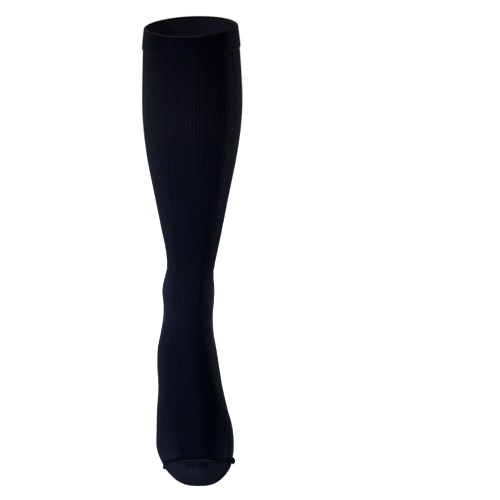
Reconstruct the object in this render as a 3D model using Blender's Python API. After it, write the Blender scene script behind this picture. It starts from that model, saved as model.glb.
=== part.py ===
"""Knee-high compression stocking in the form it takes on a leg, with the foot pointed.

Metres, +Z up, toes towards -Y. The origin is the middle of the top opening, where the
leg goes in. The knitted tube is a loft through the sections of one table: every section
is a closed outline between a front point (shin or instep) and a back point (calf, heel
or sole). Wales run down the tube, so a place round an outline is given by its share of
the wales, counted from the front middle.
"""

import math
from collections import namedtuple

import bmesh
import bpy
from mathutils import Vector

# The knitted cloth
MM = 0.001
RIBS = 84  # raised wales round the tube, one by one rib on 168 needles
WALL = 1.3 * MM  # plain cloth between the ribs
RIB_HEIGHT = 0.5 * MM
SEAM_GAP = 0.3 * MM  # between neighbouring pieces

# The turned band at the top, two layers thick, its lower edge a step proud of the leg
WELT_HEIGHT = 24.0 * MM
WELT_WALL = 2.0 * MM
WELT_STEP = 0.4 * MM  # how much thicker its lower edge is, where the turning is joined
WELT_RIB = 0.8  # its ribs are this share as high as the leg's
FOLD_RISE = 0.3  # the fold's top edges lie this share of its radius below the rim
FOLD_FLAT = 0.25  # and this share of the band's thickness in from its faces

# The top opening slopes down to the front, and a little to the stocking's outer side
RIM_SLOPE_FRONT = math.tan(math.radians(7.1))
RIM_SLOPE_SIDE = math.tan(math.radians(2.2))
SLOPE_DEPTH = 70.0 * MM  # the slope dies out this far below the rim

# Where the ribs end on the foot, which is plain knit round the heel, sole and toes
RIBS_FADE = 0.45  # from this share of the foot's length they die out towards the toes
RIBS_ROUND = (0.19, 0.25)  # the shares of the wales where they die out round the sides
RIBS_BLEND = 0.8  # steps of the table over which those sides become plain

# Toe cap: a blunt dome beyond the linked seam, which narrows from the seam on
TOE_LENGTH = 23.0 * MM
TOE_BLUNTNESS = 2.8  # 2 is a paraboloid, more has a blunter tip and straighter sides
TOE_DROOP = 4.0 * MM  # the tip lies this far below the middle of the seam's outline
TOE_LEAN = 1.6 * MM  # and this far towards +X
TOE_INSET = 1.0 * MM  # the linking draws the cap in by this much

# Linked toe seam: a ridge over the toes with a puckered ear at each end
SEAM_RADIUS = 1.1 * MM
EAR_RADII = (1.1 * MM, 1.7 * MM)  # its end towards -X, and the larger one towards +X
EAR_TALL = (1.4, 1.9)  # each ear is this many times as tall, along the tube, as it is thick
SEAM_START, SEAM_END = -0.275, 0.25  # the shares of the wales where the ridge ends
SEAM_RISE = 0.21  # its end towards +X climbs this share of the table's last step
SEAM_DROP = 0.14  # and its other end drops this share of it
SEAM_HUG = 1.6 * MM  # the dropped end lies this much closer in, where the cap narrows
SEAM_BEND = 0.14  # both swings begin this share of the wales from the front middle
EAR_SPAN = (0.82, 0.97)  # the shares of the way to an end where an ear swells
SEAM_BLUNT = 0.55  # the ridge's end faces are this share as wide as it is

# How finely the solids are divided
DENSE = 120  # points on half an outline while its length is measured
RIB_POINTS = 2 * RIBS  # crest and valley of each rib
INNER_POINTS = RIB_POINTS // 4
TOE_POINTS = 56
SOLE_STEP = 3  # over the heel and sole one point stands for this many half ribs
LEG_RINGS = 14
HEEL_RINGS = 9
FOOT_RINGS = 11
TOE_RINGS = 7
WELT_BODY_RINGS = 3
SEAM_STEPS = 30
SEAM_SIDES = 8

# In millimetres. front_y, front_z and back_y, back_z: the two ends of the outline's depth
# width: its full width; shift: how far its middle lies towards +X
# egg: how much fuller the back half is; square: 2 is an ellipse, more is boxier
# instep: the share of the outline's length that carries the front half of the wales
Section = namedtuple(
    "Section", "name front_y front_z back_y back_z width shift egg square instep"
)
SECTIONS = (
    Section("rim", -50.0, 0, 49.0, 0, 98.8, -0.6, 0.04, 1.9, 0.50),
    Section("welt_foot", -52.0, -25, 55.0, -25, 103.2, -0.4, 0.05, 2.0, 0.50),
    Section("calf", -53.5, -72, 60.0, -72, 107.4, 0.3, 0.08, 2.0, 0.50),
    Section("under_calf", -53.0, -106, 59.5, -106, 105.6, 0.1, 0.08, 2.0, 0.50),
    Section("taper_start", -51.5, -140, 54.0, -140, 97.0, -0.3, 0.06, 2.0, 0.50),
    Section("taper", -48.5, -177, 46.5, -177, 82.6, -0.3, 0.03, 2.0, 0.50),
    Section("low_taper", -44.5, -213, 40.0, -212, 68.4, -0.4, 0.00, 2.0, 0.50),
    Section("narrowing", -41.2, -245, 36.5, -240, 56.2, -0.7, -0.06, 2.0, 0.49),
    Section("ankle", -38.8, -270, 41.0, -252, 51.2, -2.1, -0.12, 2.0, 0.46),
    Section("ankle_bone", -37.0, -286, 54.0, -264, 53.0, -4.0, -0.12, 2.0, 0.42),
    Section("heel_top", -35.8, -299, 70.0, -278, 57.4, -5.0, -0.06, 2.1, 0.38),
    Section("heel_back", -34.8, -310, 81.0, -301, 56.4, -4.9, 0.00, 2.2, 0.36),
    Section("heel_base", -34.0, -320, 73.5, -324, 55.4, -5.7, 0.03, 2.2, 0.37),
    Section("heel_front", -33.4, -331, 53.5, -347, 58.8, -6.6, 0.06, 2.2, 0.40),
    Section("arch_start", -33.4, -342, 35.0, -366, 64.6, -6.5, 0.09, 2.2, 0.44),
    Section("instep", -34.6, -357, 19.5, -387, 68.2, -5.0, 0.12, 2.2, 0.47),
    Section("arch", -38.4, -376, 5.0, -408, 70.8, -2.5, 0.15, 2.2, 0.49),
    Section("ball_start", -44.8, -398, -8.5, -427, 77.0, -0.6, 0.17, 2.3, 0.50),
    Section("ball", -52.2, -420, -19.5, -446, 83.2, 2.0, 0.16, 2.3, 0.50),
    Section("toe_base", -60.5, -443, -34.5, -463, 84.0, 3.0, 0.13, 2.3, 0.50),
    Section("toe_seam", -67.4, -461, -47.5, -478, 74.4, 5.6, 0.08, 2.3, 0.50),
)
SIDEWAYS = Vector((1, 0, 0))
WELT_END, LEG_END, HEEL_END, SEAM_AT = "welt_foot", "ankle_bone", "arch_start", "toe_seam"


def station(name):
    """A section's place in the table, which is how far down the tube it is."""
    return float([section.name for section in SECTIONS].index(name))


def spline(values, at):
    """A smooth curve through evenly numbered values (Catmull-Rom), read at one place."""
    last = len(values) - 1
    first = min(int(at), last - 1)
    share = at - first
    before = values[first - 1] if first else 2 * values[0] - values[1]
    after = values[first + 2] if first + 2 <= last else 2 * values[last] - values[last - 1]
    a, b = values[first], values[first + 1]
    slope_a, slope_b = (b - before) / 2, (after - a) / 2
    return (
        a * (1 + 2 * share) * (1 - share) ** 2
        + slope_a * share * (1 - share) ** 2
        + b * share**2 * (3 - 2 * share)
        - slope_b * share**2 * (1 - share)
    )


def section_at(at):
    """The section at any place down the tube, between the rows of the table."""
    columns = list(zip(*SECTIONS))[1:]
    return Section("between", *(spline(column, at) for column in columns))


def smooth_step(low, high, value):
    share = min(1.0, max(0.0, (value - low) / (high - low)))
    return share * share * (3 - 2 * share)


class Outline:
    """One closed outline of the tube, read by the share of the wales from the front."""

    def __init__(self, section, inset=0.0):
        front = Vector((section.shift, section.front_y, section.front_z)) * MM
        back = Vector((section.shift, section.back_y, section.back_z)) * MM
        self.centre = (front + back) / 2
        self.ahead = (front - back).normalized()
        self.half_depth = (front - back).length / 2 - inset
        self.half_width = section.width / 2 * MM - inset
        self.egg = section.egg
        self.power = 2 / section.square
        self.instep = section.instep
        self.widest = self._widest()
        self.half = [self._point(math.pi * i / DENSE) for i in range(DENSE + 1)]
        self.along = [0.0]
        for a, b in zip(self.half, self.half[1:]):
            self.along.append(self.along[-1] + (b - a).length)

    def _widest(self):
        """The largest value of sin(t) * (1 - egg * cos(t)), which sets the width."""
        if not self.egg:
            return 1.0
        cosine = (1 - math.sqrt(1 + 8 * self.egg**2)) / (4 * self.egg)
        return math.sqrt(1 - cosine**2) * (1 - self.egg * cosine)

    def _point(self, angle):
        """A point of the half towards +X; the angle runs from the front to the back."""
        across = abs(math.sin(angle)) ** self.power
        across *= (1 - self.egg * math.cos(angle)) / self.widest
        forward = math.copysign(abs(math.cos(angle)) ** self.power, math.cos(angle))
        side = SIDEWAYS * self.half_width * across
        return self.centre + side + self.ahead * self.half_depth * forward

    def move(self, offset):
        self.centre += offset
        for point in self.half:
            point += offset

    def _on_half(self, wales):
        """The point and the outward direction at 0 to 0.5 of the wales."""
        length = self.along[-1]
        if wales <= 0.25:
            reach = wales / 0.25 * self.instep * length
        else:
            reach = (self.instep + (wales - 0.25) / 0.25 * (1 - self.instep)) * length
        i = next((k for k in range(1, DENSE) if self.along[k] >= reach), DENSE)
        a, b = self.half[i - 1], self.half[i]
        share = (reach - self.along[i - 1]) / (self.along[i] - self.along[i - 1])
        run = b - a
        out = SIDEWAYS * -run.dot(self.ahead) + self.ahead * run.x
        return a.lerp(b, share), out.normalized()

    def at(self, wales, proud=0.0):
        """The point at a share of the wales, moved out by proud."""
        wales %= 1.0
        mirrored = wales > 0.5
        point, out = self._on_half(1 - wales if mirrored else wales)
        if wales in (0.0, 0.5):
            out = self.ahead if wales == 0.0 else -self.ahead
        point = point + out * proud
        if mirrored:
            point.x = 2 * self.centre.x - point.x
        return point


def rib(wales, height=RIB_HEIGHT):
    """How far the ribs raise the cloth here: a crest at every whole rib."""
    return height * (1 + math.cos(2 * math.pi * RIBS * wales)) / 2


def evenly(count):
    return [i / count for i in range(count)]


def onward(outline):
    """The direction down the tube, square to an outline."""
    return SIDEWAYS.cross(outline.ahead)


def sloped(point):
    """Tilts the top of the tube, fully at the rim and not at all past SLOPE_DEPTH."""
    share = smooth_step(-SLOPE_DEPTH, 0, point.z)
    rise = point.y * RIM_SLOPE_FRONT + point.x * RIM_SLOPE_SIDE
    return point + Vector((0, 0, rise * share))


def finish(name, mesh, material):
    """Makes an object of a bmesh, its faces pointing out and its round parts smooth."""
    bmesh.ops.recalc_face_normals(mesh, faces=mesh.faces)
    data = bpy.data.meshes.new(name)
    mesh.to_mesh(data)
    mesh.free()
    data.materials.append(material)
    data.shade_smooth()
    data.set_sharp_from_angle(angle=math.radians(50))
    made = bpy.data.objects.new(name, data)
    bpy.context.scene.collection.objects.link(made)
    return made


def loop_of(mesh, points):
    return [mesh.verts.new(point) for point in points]


def strip(mesh, upper, lower):
    """Fills between two closed loops, of which one has a whole multiple of the other's points."""
    many, few = (upper, lower) if len(upper) >= len(lower) else (lower, upper)
    each = len(many) // len(few)
    for k, a in enumerate(few):
        b = few[(k + 1) % len(few)]
        fan = [many[(k * each + step) % len(many)] for step in range(each + 1)]
        if each == 1:
            mesh.faces.new((fan[0], fan[1], b, a))
            continue
        turn = each // 2  # where the fan changes from one point of the few to the next
        for step in range(each):
            mesh.faces.new((fan[step], fan[step + 1], a if step < turn else b))
        mesh.faces.new((fan[turn], b, a))


def wall(name, outer, inner, material, tips=None):
    """A tube's wall from its outer and inner loops, from top to bottom.

    Without tips it is open at both ends; tips are the outer and inner points that close
    the bottom.
    """
    mesh = bmesh.new()
    outside = [loop_of(mesh, points) for points in outer]
    inside = [loop_of(mesh, points) for points in inner]
    for loops in (outside, inside):
        for upper, lower in zip(loops, loops[1:]):
            strip(mesh, upper, lower)
    strip(mesh, outside[0], inside[0])
    if tips is None:
        strip(mesh, outside[-1], inside[-1])
    else:
        for loops, tip in zip((outside, inside), tips):
            end = mesh.verts.new(tip)
            last = loops[-1]
            for a, b in zip(last, last[1:] + last[:1]):
                mesh.faces.new((a, b, end))
    return finish(name, mesh, material)


def level_loop(at, depth, points, proud, height):
    """A loop of the tube's top, level at a depth below the rim before it is sloped."""
    outline = Outline(section_at(at))
    drop = Vector((0, 0, -depth - outline.centre.z))
    return [sloped(outline.at(w, proud + rib(w, height)) + drop) for w in evenly(points)]


def make_welt(cloth):
    """The turned band: two layers, rounded where the cloth folds over at the rim."""
    end = station(WELT_END)
    fold = WELT_WALL / 2

    def loop(depth, share, height, points=RIB_POINTS):
        """One loop, set off the band's inner face by a share of its thickness there."""
        down = depth / WELT_HEIGHT
        thickness = WELT_WALL + WELT_STEP * down
        return level_loop(end * down, depth, points, thickness * share - WALL, height)

    outer = [loop(fold * FOLD_RISE, 1 - FOLD_FLAT, RIB_HEIGHT * WELT_RIB / 2)]
    for i in range(WELT_BODY_RINGS + 1):
        depth = fold + (WELT_HEIGHT - fold) * i / WELT_BODY_RINGS
        outer.append(loop(depth, 1.0, RIB_HEIGHT * WELT_RIB))
    inner = [loop(fold * FOLD_RISE, FOLD_FLAT, 0.0, INNER_POINTS)]
    for depth in (fold, WELT_HEIGHT):
        inner.append(loop(depth, 0.0, 0.0, INNER_POINTS))
    return wall("welt", outer, inner, cloth)


def tube_loops(start, end, rings, outer_shares, inner_shares, relief):
    """Outer and inner loops down the tube, the last of them SEAM_GAP short of the end.

    relief gives how proud the outer face is at a station and a share of the wales.
    """
    first, last = station(start), station(end)
    outer, inner = [], []
    for i in range(rings):
        at = first + (last - first) * i / (rings - 1)
        outline = Outline(section_at(at))
        if i == rings - 1:
            outline.move(onward(outline) * -SEAM_GAP)
        outer.append([sloped(outline.at(w, relief(at, w))) for w in outer_shares])
        inner.append([sloped(outline.at(w, -WALL)) for w in inner_shares])
    return outer, inner


def make_leg(cloth):
    """The ribbed tube from the band to the ankle bones."""
    shares = evenly(RIB_POINTS), evenly(INNER_POINTS)
    outer, inner = tube_loops(WELT_END, LEG_END, LEG_RINGS, *shares, lambda at, w: rib(w))
    top, depth = station(WELT_END), WELT_HEIGHT + SEAM_GAP
    outer[0] = level_loop(top, depth, RIB_POINTS, 0.0, RIB_HEIGHT)
    inner[0] = level_loop(top, depth, INNER_POINTS, -WALL, 0.0)
    return wall("leg", outer, inner, cloth)


def foot_wales():
    """Every half rib over the instep, and wider steps round the heel and the sole."""
    quarter = RIB_POINTS // 4
    kept = []
    for i, share in enumerate(evenly(RIB_POINTS)):
        from_front = min(i, RIB_POINTS - i)
        if from_front <= quarter or (from_front - quarter) % SOLE_STEP == 0:
            kept.append(share)
    return kept


def foot_rib(at, wales):
    """Ribs over the instep, dying out towards the toes and round to the heel and sole."""
    first, last = station(LEG_END), station(SEAM_AT)
    down = smooth_step(first + RIBS_FADE * (last - first), last, at)
    round_back = smooth_step(*RIBS_ROUND, min(wales, 1 - wales))
    below_ankle = smooth_step(first, first + RIBS_BLEND, at)
    return rib(wales, RIB_HEIGHT * (1 - down) * (1 - round_back * below_ankle))


def make_foot_part(name, start, end, rings, cloth):
    """A stretch of the foot's tube, ribbed over the instep and plain behind and below."""
    shares = foot_wales()
    loops = tube_loops(start, end, rings, shares, shares[::2], foot_rib)
    return wall(name, *loops, cloth)


def toe_loop(turn, inset, shares):
    """A loop of the toe's dome: turn is 0 at the seam and a right angle at the tip."""
    seam = Outline(SECTIONS[-1], TOE_INSET + inset)
    size = math.cos(turn)
    ahead = 1 - size**TOE_BLUNTNESS
    advance = onward(seam) * (TOE_LENGTH - inset) * ahead
    bent = (SIDEWAYS * TOE_LEAN - seam.ahead * TOE_DROOP) * ahead
    centre = seam.centre + advance + bent
    return [centre + (seam.at(w) - seam.centre) * size for w in shares]


def make_toe_cap(cloth):
    """The plain knitted cap beyond the linked seam."""
    outer, inner = [], []
    for i in range(TOE_RINGS):
        turn = math.pi / 2 * i / TOE_RINGS
        outer.append(toe_loop(turn, 0.0, evenly(TOE_POINTS)))
        inner.append(toe_loop(turn, WALL, evenly(TOE_POINTS // 2)))
    tips = [toe_loop(math.pi / 2, inset, [0.0])[0] for inset in (0.0, WALL)]
    return wall("toe_cap", outer, inner, cloth, tips)


def seam_swing(wales):
    """How far down the tube the seam's line swings here, in steps of the table."""
    if wales > 0:
        return -SEAM_RISE * (max(0.0, wales - SEAM_BEND) / (SEAM_END - SEAM_BEND)) ** 2
    return SEAM_DROP * (max(0.0, -wales - SEAM_BEND) / (-SEAM_START - SEAM_BEND)) ** 2


def make_toe_seam(yarn):
    """The linked ridge over the toes, moved out from the tube's own outline."""
    middle = []
    for i in range(SEAM_STEPS + 1):
        share = i / SEAM_STEPS
        end = share > 0.5
        ear = smooth_step(*EAR_SPAN, abs(2 * share - 1))
        radius = SEAM_RADIUS + (EAR_RADII[end] - SEAM_RADIUS) * ear
        tall = 1 + (EAR_TALL[end] - 1) * ear
        wales = SEAM_START + (SEAM_END - SEAM_START) * share
        swing = seam_swing(wales)
        outline = Outline(section_at(station(SEAM_AT) + swing))
        proud = SEAM_GAP + radius - SEAM_HUG * max(0.0, swing / SEAM_DROP)
        middle.append((outline.at(wales, proud), radius, tall, outline.centre))
    mesh = bmesh.new()
    loops = []
    for i, (point, radius, tall, centre) in enumerate(middle):
        before, after = middle[max(0, i - 1)][0], middle[min(SEAM_STEPS, i + 1)][0]
        run = (after - before).normalized()
        side = run.cross(point - centre).normalized()
        up = side.cross(run)
        size = radius * (SEAM_BLUNT if i in (0, SEAM_STEPS) else 1.0)
        turns = [2 * math.pi * k / SEAM_SIDES for k in range(SEAM_SIDES)]
        ring = [point + (side * tall * math.cos(t) + up * math.sin(t)) * size for t in turns]
        loops.append(loop_of(mesh, ring))
    for a, b in zip(loops, loops[1:]):
        strip(mesh, a, b)
    mesh.faces.new(loops[0])
    mesh.faces.new(loops[-1])
    return finish("toe_seam", mesh, yarn)


def fabric(name, colour, roughness):
    """A plain knitted finish: no metal, and a dull surface."""
    material = bpy.data.materials.new(name)
    material.use_nodes = True
    surface = material.node_tree.nodes["Principled BSDF"]
    surface.inputs["Base Color"].default_value = (*colour, 1.0)
    surface.inputs["Roughness"].default_value = roughness
    surface.inputs["Metallic"].default_value = 0.0
    return material


def main():
    for left in list(bpy.data.objects):
        bpy.data.objects.remove(left)
    make_welt(fabric("welt_knit", (0.009, 0.010, 0.017), 0.85))
    make_leg(fabric("rib_knit", (0.010, 0.011, 0.020), 0.85))
    plain_knit = fabric("plain_knit", (0.009, 0.011, 0.020), 0.88)
    make_foot_part("heel", LEG_END, HEEL_END, HEEL_RINGS, plain_knit)
    make_foot_part("foot", HEEL_END, SEAM_AT, FOOT_RINGS, plain_knit)
    make_toe_cap(fabric("toe_knit", (0.013, 0.017, 0.029), 0.85))
    make_toe_seam(fabric("seam_yarn", (0.016, 0.019, 0.032), 0.80))


main()
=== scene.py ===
"""Looks of the knee-high compression stocking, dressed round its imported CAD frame.

Each CAD solid is replaced by a fine shell of knitted cloth on the same form: the turned
band, the ribbed leg, the foot with its heel, the toe cap and the linked toe seam. The
sections and their functions are those of the part's source. Metres, +Z up, toes to -Y.
"""

import math
from collections import namedtuple

import bpy
import numpy as np
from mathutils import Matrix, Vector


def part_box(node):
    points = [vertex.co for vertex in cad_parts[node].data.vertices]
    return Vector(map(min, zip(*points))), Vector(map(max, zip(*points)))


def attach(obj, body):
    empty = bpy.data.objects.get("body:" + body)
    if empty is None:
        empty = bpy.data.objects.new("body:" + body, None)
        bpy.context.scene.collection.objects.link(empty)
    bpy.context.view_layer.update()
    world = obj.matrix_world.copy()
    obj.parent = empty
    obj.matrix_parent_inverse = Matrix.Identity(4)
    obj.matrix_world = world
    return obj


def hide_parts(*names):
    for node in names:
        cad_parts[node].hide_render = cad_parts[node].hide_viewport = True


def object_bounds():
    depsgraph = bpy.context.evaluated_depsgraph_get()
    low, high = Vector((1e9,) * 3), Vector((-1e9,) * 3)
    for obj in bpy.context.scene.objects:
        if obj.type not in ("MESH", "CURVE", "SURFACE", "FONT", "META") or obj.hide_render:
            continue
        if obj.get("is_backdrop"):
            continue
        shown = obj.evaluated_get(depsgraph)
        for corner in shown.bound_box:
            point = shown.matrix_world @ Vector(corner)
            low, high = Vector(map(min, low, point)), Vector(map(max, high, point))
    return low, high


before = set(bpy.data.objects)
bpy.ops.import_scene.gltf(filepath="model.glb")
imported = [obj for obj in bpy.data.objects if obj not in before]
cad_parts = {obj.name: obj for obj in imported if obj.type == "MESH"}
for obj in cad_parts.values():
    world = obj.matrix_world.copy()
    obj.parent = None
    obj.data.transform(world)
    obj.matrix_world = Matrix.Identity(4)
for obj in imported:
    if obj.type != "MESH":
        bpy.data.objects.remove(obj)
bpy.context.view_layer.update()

MM = 0.001

# The knitted cloth, as in the part's source
RIBS = 84
WALL = 1.3 * MM
RIB_HEIGHT = 0.5 * MM
WELT_HEIGHT = 24.0 * MM
WELT_WALL = 2.0 * MM
WELT_STEP = 0.4 * MM
WELT_RIB = 0.8
RIM_SLOPE_FRONT = math.tan(math.radians(7.1))
RIM_SLOPE_SIDE = math.tan(math.radians(2.2))
SLOPE_DEPTH = 70.0 * MM
TOE_LENGTH = 23.0 * MM
TOE_BLUNTNESS = 2.8
TOE_DROOP = 4.0 * MM
TOE_LEAN = 1.6 * MM
SEAM_GAP = 0.3 * MM
SEAM_RADIUS = 1.1 * MM
EAR_RADII = (1.1 * MM, 1.7 * MM)
EAR_TALL = (1.4, 2.1)
SEAM_START, SEAM_END = -0.275, 0.25
SEAM_RISE = 0.21
SEAM_DROP = 0.14
SEAM_HUG = 1.6 * MM
SEAM_BEND = 0.14

# How finely the cloth is divided
DENSE = 720  # points on half an outline while its length is measured
LENGTH_STEPS = 40  # outlines measured for each section of the table
RIB_COLUMNS = 8  # points across one rib
TOE_COLUMNS = 4  # and across one in the toe cap
ROUND = RIBS * RIB_COLUMNS
TOE_ROUND = RIBS * TOE_COLUMNS
WELT_RINGS = 14  # steps down the band's outer side
FOLD_RINGS = 9  # round its fold
LINING_RINGS = 8  # and up its inner side
TUBE_RINGS = 104  # down the outer side of the leg, and of the foot
INNER_RINGS = 26
TOE_RINGS = 34
TOE_INNER_RINGS = 15
SEAM_STEPS = 420
SEAM_SIDES = 14
SHARP = math.radians(65)  # a steeper bend than this stays an edge

# The knitting: one stitch is this tall, and a seam loop this long
STITCH = 1.15 * MM
SEAM_LOOP = 2.1 * MM
RIB_CROWN = 0.6  # below 1 the ribs have broad crowns and narrow valleys
PLAIN_RIB = 0.10 * MM  # what is left of the ribs where the knit is plain
INNER_RIB = 0.3 * MM  # and how high they are on the tube's inner side
LINING_RIB, LINING_RIBBED = 0.22 * MM, 0.45  # and on the band's, which is partly ribbed
RIB_VARIES = 0.14  # the share by which one rib is higher than another
RIBS_FADE = (0.30, 0.62)  # where they die out, in shares of the way from leg to toe seam
RIBS_FADE_BEHIND = 0.8  # and behind, in steps of the table below the leg's end

# Where each ends, in shares of the wales from the front middle: the foot's front, above its
# sole, and the top of the toes, where the linked seam runs
FRONT, SEAM_OVER = (0.17, 0.25), (0.25, 0.31)

# The cloth's other relief
SOFT, WELT_SOFT, SEED = 0.16 * MM, 0.14 * MM, 0.7  # the cloth's unevenness
WELT_SWELL = 0.15 * MM  # how much fuller the band is half way down
CREST_WALE, CREST_WIDE, CREST_HIGH = 0.01, 0.08, 2.2 * MM  # the soft ridge of the instep
CREST_SUNK = 0.4  # the share of it by which the cloth beside it lies lower
TUCK_DEEP, TUCK_WIDE, TUCK_ABOVE = 0.55 * MM, 0.7 * MM, 3.4 * MM  # a tuck above the seam
TUCK_SHOWS = (-0.035, 0.01, 0.10, 0.15)  # where it comes in and goes out
# How far a seam draws the cloth in, and over what length: the leg's top edge under the
# band, the foot and the cap at the toe seam
LEG_DRAWN, LEG_DRAWN_OVER = 0.25 * MM, 1.5 * MM
FOOT_DRAWN, FOOT_DRAWN_OVER = 0.7 * MM, 2.2 * MM
TOE_DRAWN, TOE_DRAWN_OVER = 0.5 * MM, 3.0 * MM
TOE_CLOTH = 1.25  # how much longer the cap's cloth is than the cap

# The band's lower edge: millimetres above it, share of the thickness, how far it is ribbed
HEM_START = 1.4 * MM
HEM = ((0.8, 0.97, 1.0), (0.35, 0.89, 0.9), (0.1, 0.78, 0.6), (0.0, 0.62, 0.0))

# The toe seam's ridge
EARS_GROW = (0.82, 0.95)  # where its ears start and are full, from its middle to its ends
SEAM_PROUD = 0.35  # how far out of the cloth its middle lies between them, in radii
SEAM_MIDDLE = 0.01  # the wale of the middle toes
SEAM_THINS, SEAM_THINS_AT = 0.35, (0.06, 0.13)  # the share it loses beyond them, and where
SEAM_LOWER, SEAM_LOWER_TO = 1.6 * MM, (0.10, 0.17)  # how far it lies over the cap there
SEAM_WANDERS = ((0.35 * MM, 61, 0.4), (0.25 * MM, 143, 2.0))  # how far, how often, phase
LOOP_TWIST, LOOP_RIPPLE = 0.20, 0.10  # its loops, in shares of its radius
EAR_LUMPS, EAR_LUMP_TURNS = 0.16, 2.6
TIP_LENGTH, TIP_LEAST = 1.3, 0.12  # how its ends round off, in radii

# In millimetres. front_y, front_z and back_y, back_z: the two ends of the outline's depth
# width: its full width; shift: how far its middle lies towards +X
# egg: how much fuller the back half is; square: 2 is an ellipse, more is boxier
# instep: the share of the outline's length that carries the front half of the wales
Section = namedtuple(
    "Section", "name front_y front_z back_y back_z width shift egg square instep"
)
SECTIONS = (
    Section("rim", -50.0, 0, 49.0, 0, 98.8, -0.6, 0.04, 1.9, 0.50),
    Section("welt_foot", -52.0, -25, 55.0, -25, 103.2, -0.4, 0.05, 2.0, 0.50),
    Section("calf", -53.5, -72, 60.0, -72, 107.4, 0.3, 0.08, 2.0, 0.50),
    Section("under_calf", -53.0, -106, 59.5, -106, 105.6, 0.1, 0.08, 2.0, 0.50),
    Section("taper_start", -51.5, -140, 54.0, -140, 97.0, -0.3, 0.06, 2.0, 0.50),
    Section("taper", -48.5, -177, 46.5, -177, 82.6, -0.3, 0.03, 2.0, 0.50),
    Section("low_taper", -44.5, -213, 40.0, -212, 68.4, -0.4, 0.00, 2.0, 0.50),
    Section("narrowing", -41.2, -245, 36.5, -240, 56.2, -0.7, -0.06, 2.0, 0.49),
    Section("ankle", -38.8, -270, 41.0, -252, 51.2, -2.1, -0.12, 2.0, 0.46),
    Section("ankle_bone", -37.0, -286, 54.0, -264, 53.0, -4.0, -0.12, 2.0, 0.42),
    Section("heel_top", -35.8, -299, 70.0, -278, 57.4, -5.0, -0.06, 2.1, 0.38),
    Section("heel_back", -34.8, -310, 81.0, -301, 56.4, -4.9, 0.00, 2.2, 0.36),
    Section("heel_base", -34.0, -320, 73.5, -324, 55.4, -5.7, 0.03, 2.2, 0.37),
    Section("heel_front", -33.4, -331, 53.5, -347, 58.8, -6.6, 0.06, 2.2, 0.40),
    Section("arch_start", -33.4, -342, 35.0, -366, 64.6, -6.5, 0.09, 2.2, 0.44),
    Section("instep", -34.6, -357, 19.5, -387, 68.2, -5.0, 0.12, 2.2, 0.47),
    Section("arch", -38.4, -376, 5.0, -408, 70.8, -2.5, 0.15, 2.2, 0.49),
    Section("ball_start", -44.8, -398, -8.5, -427, 77.0, -0.6, 0.17, 2.3, 0.50),
    Section("ball", -52.2, -420, -19.5, -446, 83.2, 2.0, 0.16, 2.3, 0.50),
    Section("toe_base", -60.5, -443, -34.5, -463, 84.0, 3.0, 0.13, 2.3, 0.50),
    Section("toe_seam", -67.4, -461, -47.5, -478, 74.4, 5.6, 0.08, 2.3, 0.50),
)
WELT_END, LEG_END, SEAM_AT = "welt_foot", "ankle_bone", "toe_seam"

# Soft creases, placed one by one. section and past: where each crosses its middle wale
# wale: the share of the wales of its middle; reach: how far it runs to each side
# wide, deep: millimetres; slant, bow: millimetres that its end drops, straight or curved
SHOULDER_AT, SHOULDER_HIGH = 1.9, 0.55  # the cloth beside each, in its widths and depths
Crease = namedtuple("Crease", "section past wale reach wide deep slant bow")
CREASES = (
    # over the front of the ankle, where the foot bends from the leg
    Crease("ankle", 0.55, 0.015, 0.115, 2.6, 0.50, 1.4, 1.2),
    Crease("ankle_bone", 0.45, -0.030, 0.130, 3.0, 0.65, -1.8, 1.6),
    Crease("heel_top", 0.40, 0.035, 0.120, 2.8, 0.60, 1.5, 1.8),
    Crease("heel_back", 0.30, -0.020, 0.140, 3.2, 0.55, -1.0, 2.2),
    Crease("heel_base", 0.45, 0.050, 0.100, 2.6, 0.40, 2.0, 1.5),
    # round the outer and inner sides of the ankle
    Crease("ankle", 0.30, 0.245, 0.080, 3.0, 0.45, 2.5, -0.8),
    Crease("ankle_bone", 0.55, -0.235, 0.075, 3.2, 0.50, -2.8, -0.6),
    Crease("heel_top", 0.50, 0.225, 0.070, 3.0, 0.45, 3.0, 0.5),
    # behind the ankle, over the tendon
    Crease("narrowing", 0.45, 0.495, 0.110, 3.0, 0.45, 1.0, -1.5),
    Crease("ankle", 0.25, 0.520, 0.130, 3.2, 0.60, -1.2, -1.8),
    Crease("ankle", 0.85, 0.480, 0.120, 3.0, 0.65, 1.6, -2.0),
    Crease("ankle_bone", 0.50, 0.510, 0.120, 3.4, 0.50, -0.8, -1.6),
    # where the sole rises into the heel, and across the ball
    Crease("heel_front", 0.55, 0.500, 0.100, 3.4, 0.40, 1.2, 1.0),
    Crease("arch_start", 0.60, 0.470, 0.090, 3.2, 0.35, -1.5, 0.8),
    Crease("ball_start", 0.40, 0.520, 0.110, 3.6, 0.35, 1.0, 0.6),
    # faint ones over the lower leg
    Crease("low_taper", 0.10, 0.200, 0.090, 4.0, 0.25, 2.5, 0.5),
    Crease("low_taper", 0.55, -0.160, 0.100, 4.0, 0.28, -2.0, 0.8),
    Crease("taper", 0.35, 0.430, 0.110, 4.5, 0.25, 2.0, -1.0),
)

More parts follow.
